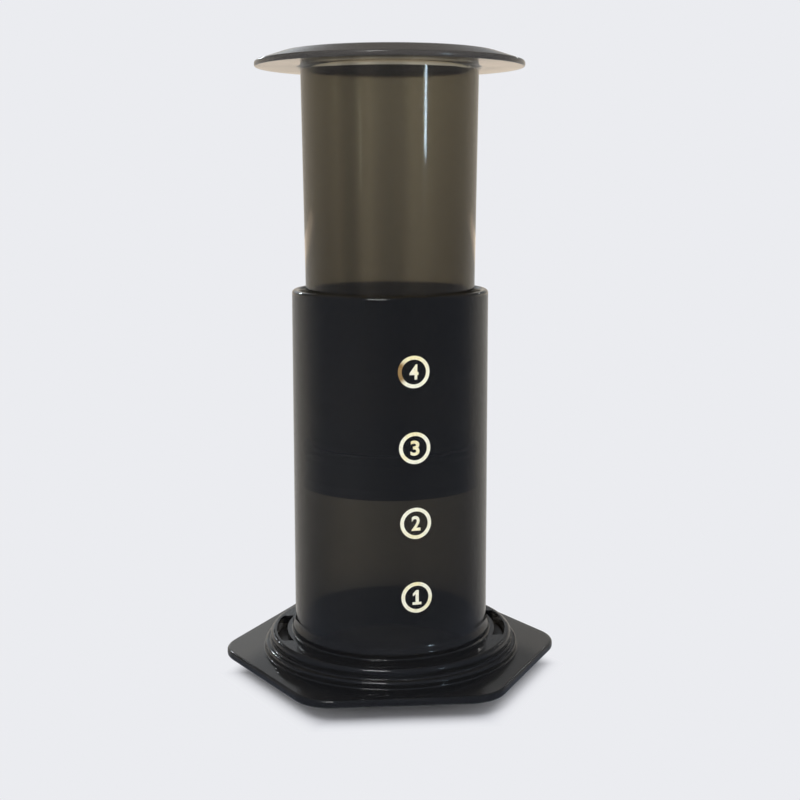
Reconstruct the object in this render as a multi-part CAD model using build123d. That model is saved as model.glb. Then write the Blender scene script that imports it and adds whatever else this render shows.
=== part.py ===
from build123d import *
import math
import os

# A piston coffee press: a tube with a hexagonal foot, a plunger with a rubber seal, and a twist-on filter cap.
# Lengths are in millimetres and angles in degrees.
# The press stands on its filter cap, with the origin in the middle of the cap's underside and +Z up the axis.
# Two corners of the hexagonal foot, the two slots and the two lugs lie on the X axis.

# Chamber tube
bore_radius = 30.0
rim_wall = 2.65
foot_wall = 3.0
chamber_height = 128.2
rim_round = 1.2

# Neck round the bottom of the tube, which the cap goes over, with its sloping shoulder above the collar
neck_wall = 4.0
neck_rise = 2.0
neck_round = 1.0
shoulder_rise = 2.1
shoulder_round = 3.0
lip_drop = 2.1
lip_round = 0.5

# Collar that hides the bayonet, with its lower step
collar_wall = 1.7
collar_roof = 2.8
collar_round = 1.4
step_width = 2.05
step_rise = 2.5
step_round = 1.0
inner_round = 0.5

# Hexagonal foot
foot_margin = 7.25
foot_thickness = 2.7
foot_corner_radius = 14.0
foot_edge_round = 0.9

# Bayonet: two slots through the collar's roof, a ledge under each, and a stop at one end of each ledge
slot_half_width = 12.6
slot_inner_margin = 1.9
slot_outer_margin = 0.4
ledge_thickness = 2.5
ledge_clearance = 0.35
stop_gap = 0.3
lug_half_width = 9.4
lug_reach = 2.8
lug_thickness = 2.3
lug_clearance = 0.6
lug_headroom = 1.1

# Filter cap
cap_floor = 2.2
cap_wall = 2.2
cap_clearance = 0.4
cap_edge_round = 1.0
standing_ring_drop = 0.8
standing_ring_width = 5.6
hole_radius = 1.0
hole_pitch = 6.5
hole_rings = 4
flute_count = 24
flute_radius = 1.5
flute_depth = 0.4

# Paper filter
filter_thickness = 0.2
filter_overlap = 2.0

# Plunger tube and palm flange
plunger_gap = 2.5
plunger_taper = 1.45
plunger_wall = 2.0
plunger_floor = 2.2
flange_overhang = 14.8
flange_thickness = 4.8
flange_edge = 1.7
flange_slope = 9.6
flange_root_round = 1.3
flange_under_round = 0.5
flange_edge_round = 0.9
flange_crown_round = 8.0
mouth_round = 1.6
plunger_corner_round = 0.8
hollow_round = 2.5

# Stud under the plunger that holds the seal
stud_inset = 5.3
stud_undercut = 3.0
stud_head = 4.5
stud_shank = 6.0
stud_round = 0.8

# Seal
seal_clearance = 0.2
stud_clearance = 0.05
seal_floor = 6.4
stud_end_gap = 0.3
seal_lip_height = 1.5
seal_waist_depth = 0.9
seal_dome = 3.5
seal_round = 0.3
dome_round_share = 0.9

# Places along the axis: how far the plunger is drawn up at rest, and what is left when it is pressed home
drawn_height = 59.2
filter_gap = 0.35
pressed_gap = 12.4

# How far a cutter runs past a face, and how far a piece that is fused on reaches into its wall
overrun = 1.0
weld = 0.5

# Radii, from the bore outwards
neck_radius = bore_radius + neck_wall
cap_inner_radius = neck_radius + cap_clearance
cap_radius = cap_inner_radius + cap_wall
lug_radius = cap_radius + lug_reach
socket_radius = lug_radius + lug_clearance
ledge_radius = cap_radius + ledge_clearance
collar_radius = socket_radius + collar_wall
step_radius = collar_radius + step_width
foot_half_flats = step_radius + foot_margin
filter_radius = bore_radius + filter_overlap

# Heights, from the table up
cap_floor_bottom = standing_ring_drop
cap_floor_top = cap_floor_bottom + cap_floor
lip_height = cap_floor_top + filter_thickness
foot_bottom = lip_height + lip_drop
foot_top = foot_bottom + foot_thickness
step_top = foot_top + step_rise
ledge_top = foot_bottom + ledge_thickness
lug_top = ledge_top + lug_thickness
socket_roof = lug_top + lug_headroom
collar_top = socket_roof + collar_roof
shoulder_height = collar_top + neck_rise
neck_top = shoulder_height + shoulder_rise
rim_height = lip_height + chamber_height

# Plunger and seal, pressed home and then drawn up to rest
seal_bottom = lip_height + filter_gap + drawn_height
stud_bottom = seal_bottom + seal_floor + stud_end_gap
stud_shoulder = stud_bottom + stud_head
plunger_bottom = stud_shoulder + stud_shank
flange_bottom = rim_height + pressed_gap + drawn_height
flange_top = flange_bottom + flange_thickness
plunger_low_radius = bore_radius - plunger_gap
plunger_high_radius = plunger_low_radius + plunger_taper
flange_radius = plunger_high_radius + flange_overhang
stud_radius = plunger_low_radius - stud_inset
shank_radius = stud_radius - stud_undercut


def turned(corners):
    """A solid of revolution about Z, from corners given as radius, height and rounding."""
    points = [(radius, 0, height) for radius, height, rounding in corners]
    roundings = [rounding for radius, height, rounding in corners]
    outline = FilletPolyline(*points, radius=roundings, close=True)
    return revolve(make_face(outline), Axis.Z)


def ring_sector(inner, outer, bottom, top, low_y, high_y):
    """The part of a flat ring on the +X side between two planes that face along Y."""
    ring = Cylinder(outer, top - bottom) - Cylinder(inner, top - bottom)
    window = Pos(outer / 2, (low_y + high_y) / 2, 0) * Box(outer, high_y - low_y, top - bottom)
    return Pos(0, 0, (bottom + top) / 2) * (ring & window)


def both_sides(solid):
    """The solid and its copy half a turn round the axis."""
    return [solid, Rot(0, 0, 180) * solid]


def hexagonal_foot():
    """The foot's plate, with rounded corners and edges, and the hole that the cap comes through."""
    outline = RegularPolygon(foot_half_flats, 6, major_radius=False)
    outline = fillet(outline.vertices(), foot_corner_radius)
    plate = Pos(0, 0, foot_bottom) * extrude(outline, foot_thickness)
    plate = fillet(plate.edges().group_by(Axis.Z)[-1], foot_edge_round)
    plate = fillet(plate.edges().group_by(Axis.Z)[0], foot_edge_round)
    middle = (foot_bottom + foot_top) / 2
    hole_radius_in_collar = (socket_radius + step_radius) / 2
    return plate - Pos(0, 0, middle) * Cylinder(hole_radius_in_collar, foot_thickness + 2 * overrun)


def make_brew_chamber():
    """Tube, neck, collar and foot in one moulding, with the bayonet's slots, ledges and stops."""
    flare = 2 * inner_round
    body = turned([
        (bore_radius, lip_height, lip_round),
        (neck_radius, lip_height, lip_round),
        (neck_radius, socket_roof, 0),
        (socket_radius, socket_roof, 0),
        (socket_radius, foot_bottom, 0),
        (step_radius + flare, foot_bottom, 0),
        (step_radius + flare, foot_top, 0),
        (step_radius, foot_top, inner_round),
        (step_radius, step_top, step_round),
        (collar_radius, step_top, inner_round),
        (collar_radius, collar_top, collar_round),
        (neck_radius, collar_top, inner_round),
        (neck_radius, shoulder_height, neck_round),
        (bore_radius + foot_wall, neck_top, shoulder_round),
        (bore_radius + rim_wall, rim_height, rim_round),
        (bore_radius, rim_height, rim_round),
    ])
    slot = ring_sector(neck_radius + slot_inner_margin, socket_radius - slot_outer_margin,
                       socket_roof - overrun, collar_top + overrun, -slot_half_width, slot_half_width)
    ledge = ring_sector(ledge_radius, socket_radius + weld, foot_bottom, ledge_top,
                        -slot_half_width, slot_half_width)
    stop = ring_sector(ledge_radius, socket_radius + weld, ledge_top, lug_top,
                       lug_half_width + stop_gap, slot_half_width)
    return body + hexagonal_foot() - both_sides(slot) + both_sides(ledge + stop)


def strainer_holes():
    """Round holes in rings about the middle of the cap's floor, six more in each ring."""
    drill = Cylinder(hole_radius, cap_floor + 2 * overrun)
    middle = (cap_floor_bottom + cap_floor_top) / 2
    holes = [Pos(0, 0, middle) * drill]
    for ring in range(1, hole_rings + 1):
        for place in PolarLocations(ring * hole_pitch, 6 * ring):
            holes.append(Pos(0, 0, middle) * place * drill)
    return holes


def grip_flutes():
    """Upright grooves round the part of the cap that shows below the foot, above its rounded edge."""
    height = foot_bottom - cap_edge_round
    cutter = Pos(0, 0, cap_edge_round + height / 2) * Cylinder(flute_radius, height)
    return [place * cutter for place in PolarLocations(cap_radius + flute_radius - flute_depth, flute_count)]


def make_filter_cap():
    """A shallow cup with a perforated floor, a standing ring, grip flutes and two bayonet lugs."""
    body = turned([
        (0, cap_floor_bottom, 0),
        (cap_radius - standing_ring_width, cap_floor_bottom, 0),
        (cap_radius - standing_ring_width, 0, 0),
        (cap_radius, 0, cap_edge_round),
        (cap_radius, lug_top, inner_round),
        (cap_inner_radius, lug_top, inner_round),
        (cap_inner_radius, cap_floor_top, 0),
        (0, cap_floor_top, 0),
    ])
    lug = ring_sector(cap_radius - weld, lug_radius, ledge_top, lug_top, -lug_half_width, lug_half_width)
    return body + both_sides(lug) - strainer_holes() - grip_flutes()


def make_paper_filter():
    """A thin disc that the chamber's lip clamps on the cap's floor."""
    return Pos(0, 0, (cap_floor_top + lip_height) / 2) * Cylinder(filter_radius, filter_thickness)


def make_plunger():
    """An open-topped tube with a domed palm flange, a closed floor and a hollow stud under it."""
    hollow_floor = plunger_bottom + plunger_floor
    stud_hollow = shank_radius - plunger_floor
    return turned([
        (0, stud_bottom, 0),
        (stud_radius, stud_bottom, stud_round),
        (stud_radius, stud_shoulder, stud_round),
        (shank_radius, stud_shoulder, 0),
        (shank_radius, plunger_bottom, 0),
        (plunger_low_radius, plunger_bottom, plunger_corner_round),
        (plunger_high_radius, flange_bottom, flange_root_round),
        (flange_radius, flange_bottom, flange_under_round),
        (flange_radius, flange_bottom + flange_edge, flange_edge_round),
        (flange_radius - flange_slope, flange_top, flange_crown_round),
        (plunger_high_radius - plunger_wall, flange_top, mouth_round),
        (plunger_low_radius - plunger_wall, hollow_floor, hollow_round),
        (stud_hollow, hollow_floor, plunger_corner_round),
        (stud_hollow, stud_bottom + plunger_floor, plunger_corner_round),
        (0, stud_bottom + plunger_floor, 0),
    ])


def make_plunger_seal():
    """A rubber cup with a domed bottom and two lips, snapped over the plunger's stud."""
    seal_radius = bore_radius - seal_clearance
    waist_radius = seal_radius - seal_waist_depth
    lip_bottom = seal_bottom + seal_dome
    cavity_floor = seal_bottom + seal_floor
    dome_corner = seal_radius / 2
    dome_slope = math.degrees(math.atan2(seal_dome, seal_radius - dome_corner))
    dome_round = dome_round_share * dome_corner / math.tan(math.radians(dome_slope / 2))
    return turned([
        (0, seal_bottom, 0),
        (dome_corner, seal_bottom, dome_round),
        (seal_radius, lip_bottom, seal_round),
        (seal_radius, lip_bottom + seal_lip_height, seal_round),
        (waist_radius, lip_bottom + 2 * seal_lip_height, seal_round),
        (waist_radius, plunger_bottom - 2 * seal_lip_height, seal_round),
        (seal_radius, plunger_bottom - seal_lip_height, seal_round),
        (seal_radius, plunger_bottom, seal_round),
        (shank_radius + stud_clearance, plunger_bottom, 0),
        (shank_radius + stud_clearance, stud_shoulder, 0),
        (stud_radius + stud_clearance, stud_shoulder, 0),
        (stud_radius + stud_clearance, cavity_floor, 0),
        (0, cavity_floor, 0),
    ])


os.makedirs("parts", exist_ok=True)
pieces = {
    "brew_chamber": make_brew_chamber(),
    "plunger": make_plunger(),
    "plunger_seal": make_plunger_seal(),
    "filter_cap": make_filter_cap(),
    "paper_filter": make_paper_filter(),
}
for name, piece in pieces.items():
    piece.label = name
    export_step(piece, f"parts/{name}.step")
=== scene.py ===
import math
from typing import NamedTuple
import bmesh
import bpy
from mathutils import Matrix, Vector
from mathutils.bvhtree import BVHTree


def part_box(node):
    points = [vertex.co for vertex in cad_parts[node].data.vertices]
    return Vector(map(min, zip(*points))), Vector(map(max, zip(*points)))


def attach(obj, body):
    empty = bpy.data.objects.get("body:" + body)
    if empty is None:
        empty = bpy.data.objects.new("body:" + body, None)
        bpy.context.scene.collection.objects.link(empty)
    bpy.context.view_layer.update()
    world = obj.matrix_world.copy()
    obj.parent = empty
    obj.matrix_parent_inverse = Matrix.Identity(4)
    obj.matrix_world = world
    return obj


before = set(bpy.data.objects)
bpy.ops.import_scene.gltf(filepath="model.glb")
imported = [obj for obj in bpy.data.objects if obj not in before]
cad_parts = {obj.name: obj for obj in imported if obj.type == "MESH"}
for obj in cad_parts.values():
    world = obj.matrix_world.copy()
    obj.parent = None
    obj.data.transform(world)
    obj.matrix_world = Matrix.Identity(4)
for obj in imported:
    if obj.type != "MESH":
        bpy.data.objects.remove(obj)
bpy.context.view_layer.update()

MM = 0.001
WHITE = (1.0, 1.0, 1.0)


class Pattern(NamedTuple):
    """Noise on a piece: features per metre, times the crowding along X, Y and Z. The spread is the two noise
    values between which the pattern goes from none to full."""
    scale: float
    spread: tuple = (0.0, 1.0)
    crowding: tuple = (1.0, 1.0, 1.0)
    detail: float = 3.0
    roughness: float = 0.5


class Relief(NamedTuple):
    """Bump of a surface: its strength, and its depth in millimetres."""
    strength: float
    depth: float


class Moulding(NamedTuple):
    """The look of one clear moulding, with heights in millimetres above the table. The smoke is the colour
    that its inside lets through, and the density, per metre, is how fast the rest is taken up."""
    name: str
    smoke: tuple
    density: float
    # The tints along the height are painted light and shade, and the streak shares are painted reflection.
    painted_tints: tuple
    painted_tint_heights: tuple
    painted_streak_shares: tuple
    thick_tint: tuple
    thick_haze: float
    thick_heights: tuple


class Lamp(NamedTuple):
    """A rectangular lamp: degrees to the right of the camera and above the level, millimetres and watts."""
    name: str
    turn: float
    elevation: float
    width: float
    height: float
    power: float
    colour: tuple = WHITE
    target: float = 80.0


# Camera, from a fit to the photograph: millimetres, degrees, and pixels of the 800 pixel frame
CAMERA_DISTANCE = 433.5
CAMERA_HEIGHT = 169.0
CAMERA_AZIMUTH = -94.05
CAMERA_PITCH = 9.86
CAMERA_YAW = 0.43
CAMERA_ROLL = 0.05
CLIP_START = 10.0
CLIP_END = 20000.0
FOCAL_PIXELS = 1300.0
FRAME_PIXELS = 800.0
SENSOR_WIDTH = 36.0

# Lamps, all as far from the heights on the axis that they are aimed at
LAMP_DISTANCE = 1200.0
LAMPS = (
    Lamp("key", turn=-18.0, elevation=48.0, width=400.0, height=420.0, power=4.0),
    Lamp("strip", turn=46.0, elevation=0.0, width=60.0, height=140.0, power=0.50,
         colour=(0.64, 0.84, 1.0), target=238.0),
    Lamp("left_rim", turn=-150.0, elevation=25.0, width=80.0, height=80.0, power=0.8,
         colour=(0.85, 0.93, 1.0)),
    Lamp("right_rim", turn=150.0, elevation=25.0, width=60.0, height=60.0, power=0.15),
)

# Backdrop and floor: a linear colour, which a strength of 1 shows as written, and millimetres
PALE = (0.831, 0.839, 0.871)
BACKDROP_STRENGTH = 1.0
FLOOR_SIZE = 6000.0
FLOOR_ROUGHNESS = 0.9

# The floor's true shading fades into the backdrop round the foot's outline, in millimetres past it
FADE_START = -8.9
FADE_WIDTH = 10.2
FADE_OFFSET = (0.6, -4.7)
HEXAGON_SIDES = 6

# What gloss mirrors of the studio: colours, and the shares of a unit direction where one meets the next
ROOM_FRONT = (0.17, 0.19, 0.24)
ROOM_LOW = (0.60, 0.55, 0.48)
ROOM_WALL = (0.30, 0.31, 0.32)
ROOM_WINDOW = (0.90, 0.95, 1.00)
ROOM_ABOVE = (0.14, 0.13, 0.12)
BEHIND_SHARES = (-0.2, 0.8)
WALL_FOOT_SHARES = (0.1, 0.3)
WALL_TOP_SHARES = (0.25, 0.5)
WINDOW_LEFT_SHARES = (-0.7, -0.25)
WINDOW_RIGHT_SHARES = (0.25, -0.25)

# What gloss mirrors of the table: colours, and how far behind the press the far one sets in, in millimetres
TABLE_FRONT = (0.17, 0.19, 0.24)
TABLE_BEHIND = (0.53, 0.51, 0.48)
TABLE_FAR = (1.08, 0.91, 0.74)
TABLE_FAR_REACH = (1600.0, 2300.0)

# Clear plastic of the two mouldings: haze where the walls are thin, roughness from clean to handled, and
# how many times rougher the thick parts are
PLASTIC_IOR = 1.5
THIN_HAZE = 0.009
HANDLED_ROUGHNESS = (0.06, 0.10)
THICK_ROUGHNESS_SHARE = 1.9
HANDLING = Pattern(scale=35.0, detail=5.0, spread=(0.35, 0.75))
WAVINESS = Pattern(scale=60.0, crowding=(1.0, 1.0, 0.2), detail=2.0)
PLASTIC_RELIEF = Relief(strength=0.035, depth=0.2)

# Chamber: its smoke, its painted shade, a tint that darkens from a height on the tube up to the rim where
# the plunger inside dims it, and its thick foot, whose look sets in between two heights above its underside
CHAMBER_SMOKE = (0.29, 0.24, 0.12)
CHAMBER_DENSITY = 690.0
CHAMBER_PAINTED_SHADE_TINTS = ((0.97, 0.98, 1.0), (0.60, 0.62, 0.66))
CHAMBER_PAINTED_SHADE_HEIGHT = 65.0
FOOT_TINT = (0.40, 0.41, 0.45)
FOOT_HAZE = 0.018
FOOT_FADE = (24.0, 14.0)

# Plunger: its smoke, its painted light, a tint that lightens from the chamber's rim up to its open top,
# where light falls in, and its thick flange, whose look sets in between two heights below its top
PLUNGER_SMOKE = (0.30, 0.22, 0.0)
PLUNGER_DENSITY = 612.0
PLUNGER_PAINTED_LIGHT_TINTS = ((0.78, 0.77, 0.76), WHITE)
FLANGE_TINT = (0.97, 0.88, 0.78)
FLANGE_HAZE = 0.06
FLANGE_FADE = (-5.1, -4.5)

# Upright streaks of painted reflection on the side towards the camera: azimuths in degrees from +X where
# they begin and end, and for each tube the shares of the way between those and of the light that passes
# there
PAINTED_STREAK_LOW = -154.0
PAINTED_STREAK_HIGH = -34.0
PLUNGER_PAINTED_STREAK_SHARES = ((0.0, 0.85), (0.13, 0.80), (0.20, 0.88), (0.25, 0.64), (0.30, 0.60),
                         (0.35, 0.90), (0.39, 0.96), (0.45, 0.72), (0.50, 0.65), (0.56, 0.70),
                         (0.62, 0.97), (0.70, 1.0), (0.78, 0.88), (1.0, 0.88))
CHAMBER_PAINTED_STREAK_SHARES = ((0.0, 0.80), (0.12, 0.88), (0.22, 1.0), (0.32, 1.0), (0.40, 0.82),
                         (0.48, 0.68), (0.57, 0.60), (0.65, 0.68), (0.74, 0.68), (0.84, 0.70),
                         (1.0, 0.78))

# Rubber: a fine grain, with a paler bloom in patches
RUBBER = (0.010, 0.010, 0.011)
BLOOM_SHARE = 2.2
BLOOM = Pattern(scale=90.0, crowding=(1.0, 1.0, 0.5), detail=4.0, spread=(0.4, 0.8))
RUBBER_GRAIN = Pattern(scale=2200.0, detail=4.0, spread=(0.3, 0.7))
RUBBER_ROUGHNESS = (0.42, 0.60)
RUBBER_RELIEF = Relief(strength=0.3, depth=0.05)

# Black plastic: a fine grain, paler and glossier where it is rubbed
BLACK_PLASTIC = (0.010, 0.010, 0.011)
RUBBED_SHARE = 1.8
RUBBED = Pattern(scale=140.0, detail=5.0, spread=(0.45, 0.75))
RUBBED_ROUGHNESS = (0.38, 0.26)
PLASTIC_GRAIN = Pattern(scale=3500.0)
GRAIN_RELIEF = Relief(strength=0.25, depth=0.03)

# Filter paper: fibres that lie mostly along Y
PAPER = (0.80, 0.77, 0.69)
PAPER_ROUGHNESS = 0.92
FIBRE_SHADE_SHARE = 0.86
FIBRES = Pattern(scale=1500.0, crowding=(1.0, 0.25, 1.0), detail=6.0, roughness=0.7, spread=(0.3, 0.7))
FIBRE_RELIEF = Relief(strength=0.5, depth=0.08)

# Gold print: pale and yellow in patches, and worn brown round one place, in millimetres
PALE_GOLD = (1.0, 0.97, 0.76)
YELLOW_GOLD = (1.0, 0.88, 0.46)
DEEP_GOLD = (0.33, 0.20, 0.07)
GOLD_METALLIC = 0.1
GOLD_ROUGHNESS = (0.22, 0.34)
GOLD_PATCHES = Pattern(scale=170.0, detail=2.0, spread=(0.45, 0.75))
GOLD_GRAIN = Pattern(scale=900.0, spread=(0.3, 0.7))
WORN_PLACE = (-0.1, -32.7, 108.0)
WORN_REACH = 4.6
WORN_CORE_SHARE = 0.5

# Number marks on the chamber's wall, in millimetres and degrees; azimuth is measured from +X, and the lean
# is in degrees of azimuth per millimetre of height
MARK_AZIMUTH = -80.1
MARK_LEAN = -0.024
MARK_HEIGHTS = {"1": 34.65, "2": 59.25, "3": 83.75, "4": 108.05}
RING_RADIUS = 5.12
RING_STROKE = 1.2
RING_STEPS = 72
DIGIT_HEIGHT = 4.85
DIGIT_WIDTH = 2.95
DIGIT_BOLDNESS = 0.028
MARK_THICKNESS = 0.05
MARK_SINK = 0.02
MARK_STRIP = 0.35
WELD_REACH = 0.0005
RAY_REACH = 120.0

# Outline of the numeral 1, which has a flag and a slab foot, as shares of its width and height
ONE_SHARES = ((-0.5, -0.5), (0.5, -0.5), (0.5, -0.32), (0.2, -0.32), (0.2, 0.5), (-0.1, 0.5),
              (-0.46, 0.27), (-0.46, 0.1), (-0.16, 0.22), (-0.16, -0.32), (-0.5, -0.32))


def metres(lengths):
    """Lengths in millimetres as metres."""
    return tuple(length * MM for length in lengths)


def shaded(colour, share):
    """A colour made lighter or darker."""
    return tuple(share * part for part in colour)


def make_camera():
    """The photograph's viewpoint, low in front of the press and a little to its left."""
    data = bpy.data.cameras.new("camera")
    data.sensor_width = SENSOR_WIDTH
    data.lens = FOCAL_PIXELS / FRAME_PIXELS * SENSOR_WIDTH
    data.clip_start = CLIP_START * MM
    data.clip_end = CLIP_END * MM
    camera = bpy.data.objects.new("camera", data)
    azimuth = math.radians(CAMERA_AZIMUTH)
    camera.location = (CAMERA_DISTANCE * MM * math.cos(azimuth),
                       CAMERA_DISTANCE * MM * math.sin(azimuth),
                       CAMERA_HEIGHT * MM)
    heading = azimuth + math.pi / 2 - math.radians(CAMERA_YAW)
    turn = (Matrix.Rotation(heading, 4, "Z")
            @ Matrix.Rotation(math.pi / 2 - math.radians(CAMERA_PITCH), 4, "X")
            @ Matrix.Rotation(math.radians(-CAMERA_ROLL), 4, "Z"))
    camera.rotation_euler = turn.to_euler()
    bpy.context.scene.collection.objects.link(camera)
    bpy.context.scene.camera = camera


def make_lamp(lamp):
    """One area lamp, aimed at its target height on the axis of the press."""
    data = bpy.data.lights.new(lamp.name, "AREA")
    data.shape = "RECTANGLE"
    data.size = lamp.width * MM
    data.size_y = lamp.height * MM
    data.energy = lamp.power
    data.color = lamp.colour
    light = bpy.data.objects.new(lamp.name, data)
    azimuth = math.radians(CAMERA_AZIMUTH + lamp.turn)
    rise = math.radians(lamp.elevation)
    away = Vector((math.cos(azimuth) * math.cos(rise), math.sin(azimuth) * math.cos(rise), math.sin(rise)))
    light.location = away * LAMP_DISTANCE * MM + Vector((0, 0, lamp.target * MM))
    light.rotation_euler = away.to_track_quat("Z", "Y").to_euler()
    bpy.context.scene.collection.objects.link(light)


class Nodes:
    """Short calls to add and join shader nodes in one tree."""

    def __init__(self, tree):
        self.tree = tree

    def add(self, kind, inputs=None, **settings):
        """A new node, with values or other nodes' outputs fed to its inputs."""
        node = self.tree.nodes.new(kind)
        for name, value in settings.items():
            setattr(node, name, value)
        for name, value in (inputs or {}).items():
            self.feed(value, node.inputs[name])
        return node

    def feed(self, value, socket):
        """Links another node's output to a socket, or sets it to a plain value."""
        if isinstance(value, bpy.types.NodeSocket):
            self.tree.links.new(value, socket)
        elif isinstance(value, tuple) and socket.type == "RGBA":
            socket.default_value = (*value, 1.0)
        else:
            socket.default_value = value

    def number(self, operation, first, second=0.0):
        """A sum on numbers."""
        return self.add("ShaderNodeMath", {0: first, 1: second}, operation=operation).outputs[0]

    def vector(self, operation, first, second=(0.0, 0.0, 0.0)):
        """A sum on vectors, whose result is a number where it measures them."""
        outputs = self.add("ShaderNodeVectorMath", {0: first, 1: second}, operation=operation).outputs
        return outputs["Value" if operation in ("DISTANCE", "DOT_PRODUCT") else "Vector"]

    def parts(self, vector):
        """The X, Y and Z of a vector."""
        return self.add("ShaderNodeSeparateXYZ", {0: vector}).outputs

    def mix(self, share, first, second):
        """A colour that goes from the first to the second as the share goes from 0 to 1."""
        node = self.add("ShaderNodeMix", data_type="RGBA")
        self.feed(share, node.inputs[0])
        self.feed(first, node.inputs[6])
        self.feed(second, node.inputs[7])
        return node.outputs[2]

    def ramp(self, value, low, high, out_low=0.0, out_high=1.0, smooth=False):
        """A number that goes from out_low to out_high, no further, as the value goes from low to high."""
        return self.add("ShaderNodeMapRange",
                        {"Value": value, "From Min": low, "From Max": high,
                         "To Min": out_low, "To Max": out_high},
                        interpolation_type="SMOOTHSTEP" if smooth else "LINEAR").outputs[0]

    def between(self, share, first, second):
        """A number that goes from the first to the second as the share goes from 0 to 1."""
        return self.ramp(share, 0.0, 1.0, first, second)

    def place(self):
        """A point's place in the piece's own coordinates, which are those of the frame."""
        return self.add("ShaderNodeTexCoord").outputs["Object"]

    def noise(self, pattern):
        """The raw noise of a pattern."""
        place = self.add("ShaderNodeMapping", {"Vector": self.place(), "Scale": pattern.crowding})
        return self.add("ShaderNodeTexNoise",
                        {"Vector": place.outputs[0], "Scale": pattern.scale, "Detail": pattern.detail,
                         "Roughness": pattern.roughness}).outputs["Fac"]

    def bump(self, height, relief):
        """The normal of a surface with this relief."""
        return self.add("ShaderNodeBump", {"Height": height, "Strength": relief.strength,
                                           "Distance": relief.depth * MM}).outputs[0]


def new_material(name):
    """A new material, the calls for its nodes, and its shader."""
    material = bpy.data.materials.new(name)
    material.use_nodes = True
    return material, Nodes(material.node_tree), material.node_tree.nodes["Principled BSDF"]


def dress(node, material):
    """Gives a solid of the frame its material."""
    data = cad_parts[node].data
    data.materials.clear()
    data.materials.append(material)


def painted_reflection_streaks(nodes, shares):
    """Painted reflection: broad upright light and dark streaks that follow the azimuth round the axis."""
    place = nodes.parts(nodes.place())
    azimuth = nodes.number("ARCTAN2", place["Y"], place["X"])
    along = nodes.ramp(azimuth, math.radians(PAINTED_STREAK_LOW), math.radians(PAINTED_STREAK_HIGH))
    node = nodes.add("ShaderNodeValToRGB", {"Fac": along})
    stops = node.color_ramp.elements
    for position, _ in shares[1:-1]:
        stops.new(position)
    for stop, (position, share) in zip(stops, shares):
        stop.position = position
        stop.color = (share, share, share, 1.0)
    return node.outputs["Color"]


def smoky_plastic(look):
    """Smoke-tinted clear plastic with painted reflection streaks and painted light and shade along its
    height, hazier and rougher where it is thick.
    """
    material, nodes, shader = new_material(look.name)
    height = nodes.parts(nodes.place())["Z"]
    thick = nodes.ramp(height, *metres(look.thick_heights))
    # painted light and shade along the height: lighter up to the plunger's open top, darker up the chamber
    # where the plunger sits inside; the thick part's tint is the plastic's own
    painted_light_and_tint = nodes.mix(nodes.ramp(height, *metres(look.painted_tint_heights)), *look.painted_tints)
    painted_light_and_tint = nodes.mix(thick, painted_light_and_tint, look.thick_tint)
    # painted reflection: upright light and dark streaks, left out where the plastic is thick
    painted_streaks = nodes.mix(thick, painted_reflection_streaks(nodes, look.painted_streak_shares), WHITE)
    nodes.feed(nodes.vector("MULTIPLY", painted_light_and_tint, painted_streaks), shader.inputs["Base Color"])
    roughness = nodes.ramp(nodes.noise(HANDLING), *HANDLING.spread, *HANDLED_ROUGHNESS)
    softening = nodes.between(thick, 1.0, THICK_ROUGHNESS_SHARE)
    nodes.feed(nodes.number("MULTIPLY", roughness, softening), shader.inputs["Roughness"])
    nodes.feed(nodes.bump(nodes.noise(WAVINESS), PLASTIC_RELIEF), shader.inputs["Normal"])
    clearness = nodes.between(thick, 1.0 - THIN_HAZE, 1.0 - look.thick_haze)
    nodes.feed(clearness, shader.inputs["Transmission Weight"])
    shader.inputs["IOR"].default_value = PLASTIC_IOR
    absorption = nodes.add("ShaderNodeVolumeAbsorption", {"Color": look.smoke, "Density": look.density})
    nodes.feed(absorption.outputs[0], material.node_tree.nodes["Material Output"].inputs["Volume"])
    return material


def rubber():
    """Matt black rubber."""
    material, nodes, shader = new_material("black_rubber")
    grain = nodes.noise(RUBBER_GRAIN)
    bloom = nodes.ramp(nodes.noise(BLOOM), *BLOOM.spread)
    nodes.feed(nodes.mix(bloom, RUBBER, shaded(RUBBER, BLOOM_SHARE)), shader.inputs["Base Color"])
    nodes.feed(nodes.ramp(grain, *RUBBER_GRAIN.spread, *RUBBER_ROUGHNESS), shader.inputs["Roughness"])
    nodes.feed(nodes.bump(grain, RUBBER_RELIEF), shader.inputs["Normal"])
    return material


def black_plastic():
    """Satin black moulded plastic."""
    material, nodes, shader = new_material("black_plastic")
    rubbed = nodes.ramp(nodes.noise(RUBBED), *RUBBED.spread)
    colour = nodes.mix(rubbed, BLACK_PLASTIC, shaded(BLACK_PLASTIC, RUBBED_SHARE))
    nodes.feed(colour, shader.inputs["Base Color"])
    nodes.feed(nodes.between(rubbed, *RUBBED_ROUGHNESS), shader.inputs["Roughness"])
    nodes.feed(nodes.bump(nodes.noise(PLASTIC_GRAIN), GRAIN_RELIEF), shader.inputs["Normal"])
    return material


def paper():
    """Creamy filter paper."""
    material, nodes, shader = new_material("filter_paper")
    fibres = nodes.noise(FIBRES)
    colour = nodes.mix(nodes.ramp(fibres, *FIBRES.spread), shaded(PAPER, FIBRE_SHADE_SHARE), PAPER)
    nodes.feed(colour, shader.inputs["Base Color"])
    shader.inputs["Roughness"].default_value = PAPER_ROUGHNESS
    nodes.feed(nodes.bump(fibres, FIBRE_RELIEF), shader.inputs["Normal"])
    return material


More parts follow.
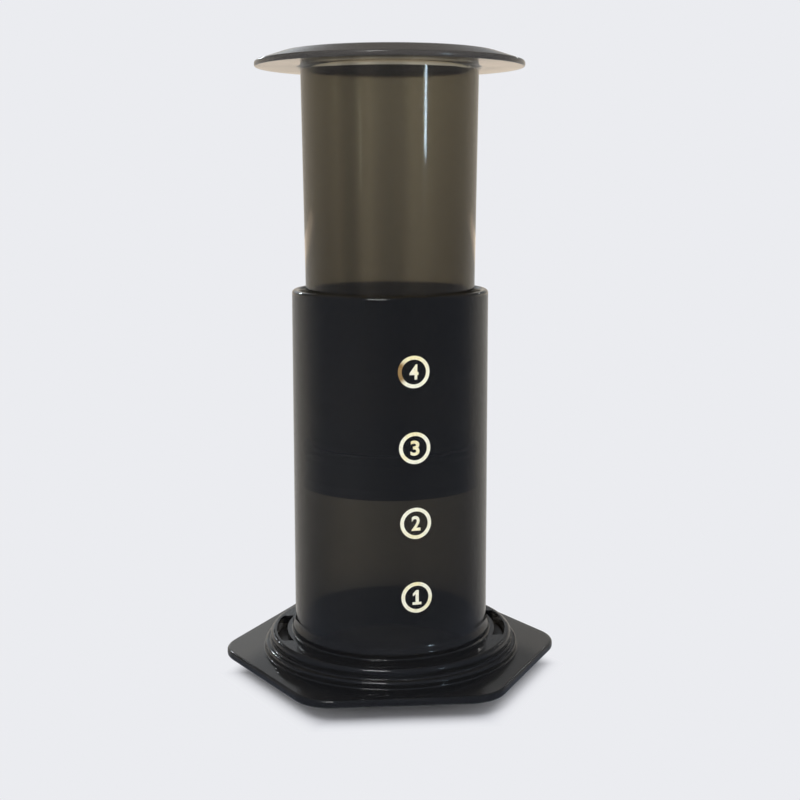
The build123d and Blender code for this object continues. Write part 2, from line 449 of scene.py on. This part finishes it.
def gold_print():
    """Foil print: pale gold, with deeper gold where the foil is worn."""
    material, nodes, shader = new_material("gold_print")
    away = nodes.vector("DISTANCE", nodes.place(), metres(WORN_PLACE))
    worn = nodes.ramp(away, WORN_REACH * MM, WORN_CORE_SHARE * WORN_REACH * MM, smooth=True)
    patches = nodes.ramp(nodes.noise(GOLD_PATCHES), *GOLD_PATCHES.spread)
    fresh = nodes.mix(patches, PALE_GOLD, YELLOW_GOLD)
    nodes.feed(nodes.mix(worn, fresh, DEEP_GOLD), shader.inputs["Base Color"])
    shader.inputs["Metallic"].default_value = GOLD_METALLIC
    roughness = nodes.ramp(nodes.noise(GOLD_GRAIN), *GOLD_GRAIN.spread, *GOLD_ROUGHNESS)
    nodes.feed(roughness, shader.inputs["Roughness"])
    return material


def mirrored(nodes):
    """One for a reflected ray that hasn't passed through clear plastic, else zero."""
    rays = nodes.add("ShaderNodeLightPath").outputs
    difference = nodes.number("SUBTRACT", rays["Is Glossy Ray"], rays["Is Transmission Ray"])
    return nodes.number("GREATER_THAN", difference)


def studio_colour(nodes):
    """What gloss mirrors above the table: dim in front, and a wall with a window behind the press."""
    direction = nodes.parts(nodes.add("ShaderNodeTexCoord").outputs["Generated"])
    window = nodes.number("MULTIPLY",
                          nodes.ramp(direction["X"], *WINDOW_RIGHT_SHARES, smooth=True),
                          nodes.ramp(direction["X"], *WINDOW_LEFT_SHARES, smooth=True))
    wall = nodes.mix(window, ROOM_WALL, ROOM_WINDOW)
    behind = nodes.mix(nodes.ramp(direction["Z"], *WALL_FOOT_SHARES, smooth=True), ROOM_LOW, wall)
    behind = nodes.mix(nodes.ramp(direction["Z"], *WALL_TOP_SHARES, smooth=True), behind, ROOM_ABOVE)
    return nodes.mix(nodes.ramp(direction["Y"], *BEHIND_SHARES, smooth=True), ROOM_FRONT, behind)


def table_colour(nodes):
    """What gloss mirrors of the table: dim in front of the press, brighter behind it and far away."""
    place = nodes.place()
    towards = nodes.parts(nodes.vector("NORMALIZE", place))
    near = nodes.mix(nodes.ramp(towards["Y"], *BEHIND_SHARES, smooth=True), TABLE_FRONT, TABLE_BEHIND)
    far = nodes.ramp(nodes.parts(place)["Y"], *metres(TABLE_FAR_REACH), smooth=True)
    return nodes.mix(far, near, TABLE_FAR)


def make_world():
    """Plain pale backdrop on every side; gloss mirrors the dimmer studio instead."""
    world = bpy.data.worlds.new("world")
    bpy.context.scene.world = world
    world.use_nodes = True
    nodes = Nodes(world.node_tree)
    background = world.node_tree.nodes["Background"]
    nodes.feed(nodes.mix(mirrored(nodes), PALE, studio_colour(nodes)), background.inputs["Color"])
    background.inputs["Strength"].default_value = BACKDROP_STRENGTH


def outside_hexagon(nodes, half_flats):
    """Distance from a hexagon's sides, positive outside; two of its corners lie along X."""
    shift = (*metres(-offset for offset in FADE_OFFSET), 0.0)
    place = nodes.vector("ADD", nodes.place(), shift)
    distance = 0.0
    for side in range(HEXAGON_SIDES // 2):
        azimuth = (2 * side + 1) * math.pi / HEXAGON_SIDES
        across = nodes.vector("DOT_PRODUCT", place, (math.cos(azimuth), math.sin(azimuth), 0.0))
        distance = nodes.number("MAXIMUM", distance, nodes.number("ABSOLUTE", across))
    return nodes.number("SUBTRACT", distance, half_flats)


def floor_paint():
    """Pale paint that is shaded close to the foot and fades into the plain backdrop round it."""
    material, nodes, shader = new_material("floor_paint")
    nodes.feed(PALE, shader.inputs["Base Color"])
    shader.inputs["Roughness"].default_value = FLOOR_ROUGHNESS
    shader.inputs["Specular IOR Level"].default_value = 0.0
    distance = outside_hexagon(nodes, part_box("brew_chamber")[1].y)
    away = nodes.ramp(distance, *metres((FADE_START, FADE_START + FADE_WIDTH)), smooth=True)
    rays = nodes.add("ShaderNodeLightPath").outputs
    seen = nodes.number("MAXIMUM", rays["Is Camera Ray"], rays["Is Transmission Ray"])
    seen = nodes.number("MAXIMUM", seen, rays["Is Glossy Ray"])
    colour = nodes.mix(mirrored(nodes), PALE, table_colour(nodes))
    backdrop = nodes.add("ShaderNodeEmission", {"Color": colour, "Strength": BACKDROP_STRENGTH})
    blend = nodes.add("ShaderNodeMixShader", {0: nodes.number("MULTIPLY", away, seen),
                                              1: shader.outputs[0], 2: backdrop.outputs[0]})
    nodes.feed(blend.outputs[0], material.node_tree.nodes["Material Output"].inputs["Surface"])
    return material


def make_floor():
    """The floor, which isn't part of the press."""
    bpy.ops.mesh.primitive_plane_add(size=FLOOR_SIZE * MM, location=(0, 0, 0))
    floor = bpy.context.object
    floor.name = "floor"
    floor.data.materials.append(floor_paint())


def glyph(character):
    """The outline of a numeral as a flat mesh in metres, centred and scaled to the digits' size."""
    curve = bpy.data.curves.new("glyph", "FONT")
    curve.body = character
    curve.offset = DIGIT_BOLDNESS
    holder = bpy.data.objects.new("glyph", curve)
    bpy.context.scene.collection.objects.link(holder)
    bpy.context.view_layer.update()
    mesh = bpy.data.meshes.new_from_object(holder.evaluated_get(bpy.context.evaluated_depsgraph_get()))
    flat = bmesh.new()
    flat.from_mesh(mesh)
    bpy.data.objects.remove(holder)
    bpy.data.curves.remove(curve)
    bpy.data.meshes.remove(mesh)
    across = [v.co.x for v in flat.verts]
    along = [v.co.y for v in flat.verts]
    middle = Vector(((min(across) + max(across)) / 2, (min(along) + max(along)) / 2, 0))
    share = Vector((DIGIT_WIDTH * MM / (max(across) - min(across)),
                    DIGIT_HEIGHT * MM / (max(along) - min(along)), 0))
    for vertex in flat.verts:
        vertex.co = (vertex.co - middle) * share
    return flat


def slab_one():
    """The numeral 1 as a flat mesh in metres, of the digits' size."""
    flat = bmesh.new()
    flat.faces.new([flat.verts.new((across * DIGIT_WIDTH * MM, along * DIGIT_HEIGHT * MM, 0))
                    for across, along in ONE_SHARES])
    flat.normal_update()
    bmesh.ops.triangulate(flat, faces=flat.faces)
    return flat


def ring_outline():
    """The flat ring round a numeral, in metres."""
    flat = bmesh.new()
    loops = []
    for radius in (RING_RADIUS - RING_STROKE, RING_RADIUS):
        loops.append([flat.verts.new((radius * MM * math.cos(turn), radius * MM * math.sin(turn), 0))
                      for turn in (step * math.tau / RING_STEPS for step in range(RING_STEPS))])
    for step in range(RING_STEPS):
        after = (step + 1) % RING_STEPS
        flat.faces.new((loops[0][step], loops[1][step], loops[1][after], loops[0][after]))
    return flat


def cut_into_strips(flat):
    """Cuts a flat outline into narrow upright strips, so that it can follow the wall's curve."""
    half = max(abs(v.co.x) for v in flat.verts)
    cut = -half + MARK_STRIP * MM
    while cut < half:
        everything = flat.verts[:] + flat.edges[:] + flat.faces[:]
        bmesh.ops.bisect_plane(flat, geom=everything, plane_co=(cut, 0, 0), plane_no=(1, 0, 0))
        cut += MARK_STRIP * MM
    bmesh.ops.remove_doubles(flat, verts=flat.verts, dist=WELD_REACH * MM)
    bmesh.ops.recalc_face_normals(flat, faces=flat.faces)


def on_wall(wall, azimuth, height):
    """The point of the chamber's outer wall at this azimuth in radians and height in metres."""
    outward = Vector((math.cos(azimuth), math.sin(azimuth), 0))
    outside = Vector((0, 0, height)) + outward * RAY_REACH * MM
    return wall.ray_cast(outside, -outward)[0]


def lay_on_wall(flat, wall, azimuth, height):
    """Gives a flat outline its thickness and lays it round the chamber's wall."""
    raised = bmesh.ops.extrude_face_region(flat, geom=flat.faces[:])
    top = {v for v in raised["geom"] if isinstance(v, bmesh.types.BMVert)}
    radius = (on_wall(wall, azimuth, height) - Vector((0, 0, height))).length
    for vertex in flat.verts:
        turn = azimuth + vertex.co.x / radius
        outward = Vector((math.cos(turn), math.sin(turn), 0))
        lift = MARK_THICKNESS if vertex in top else -MARK_SINK
        vertex.co = on_wall(wall, turn, height + vertex.co.y) + outward * lift * MM
    bmesh.ops.recalc_face_normals(flat, faces=flat.faces)


def make_mark(flat, wall, azimuth, height, name, material):
    """One printed mark from its flat outline, which this uses up."""
    cut_into_strips(flat)
    lay_on_wall(flat, wall, azimuth, height)
    mesh = bpy.data.meshes.new(name)
    flat.to_mesh(mesh)
    flat.free()
    mesh.materials.append(material)
    piece = bpy.data.objects.new(name, mesh)
    bpy.context.scene.collection.objects.link(piece)
    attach(piece, "chamber")


def make_number_marks():
    """Gold rings with the numerals 1 to 4, foot to rim, on the chamber's wall."""
    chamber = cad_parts["brew_chamber"].data
    wall = BVHTree.FromPolygons([v.co for v in chamber.vertices], [p.vertices for p in chamber.polygons])
    material = gold_print()
    middle = sum(MARK_HEIGHTS.values()) / len(MARK_HEIGHTS)
    for numeral, height in MARK_HEIGHTS.items():
        azimuth = math.radians(MARK_AZIMUTH + MARK_LEAN * (height - middle))
        make_mark(ring_outline(), wall, azimuth, height * MM, f"ring_{numeral}", material)
        outline = slab_one() if numeral == "1" else glyph(numeral)
        make_mark(outline, wall, azimuth, height * MM, f"numeral_{numeral}", material)


foot, rim = (corner.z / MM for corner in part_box("brew_chamber"))
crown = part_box("plunger")[1].z / MM
chamber_look = Moulding("smoky_chamber", CHAMBER_SMOKE, CHAMBER_DENSITY,
                        painted_tints=CHAMBER_PAINTED_SHADE_TINTS, painted_tint_heights=(CHAMBER_PAINTED_SHADE_HEIGHT, rim),
                        painted_streak_shares=CHAMBER_PAINTED_STREAK_SHARES, thick_tint=FOOT_TINT, thick_haze=FOOT_HAZE,
                        thick_heights=tuple(foot + height for height in FOOT_FADE))
plunger_look = Moulding("smoky_plunger", PLUNGER_SMOKE, PLUNGER_DENSITY,
                        painted_tints=PLUNGER_PAINTED_LIGHT_TINTS, painted_tint_heights=(rim, crown),
                        painted_streak_shares=PLUNGER_PAINTED_STREAK_SHARES, thick_tint=FLANGE_TINT, thick_haze=FLANGE_HAZE,
                        thick_heights=tuple(crown + height for height in FLANGE_FADE))

make_camera()
make_world()
make_floor()
for lamp in LAMPS:
    make_lamp(lamp)
dress("brew_chamber", smoky_plastic(chamber_look))
dress("plunger", smoky_plastic(plunger_look))
dress("plunger_seal", rubber())
dress("filter_cap", black_plastic())
dress("paper_filter", paper())
make_number_marks()

bpy.context.scene.view_settings.view_transform = "Standard"
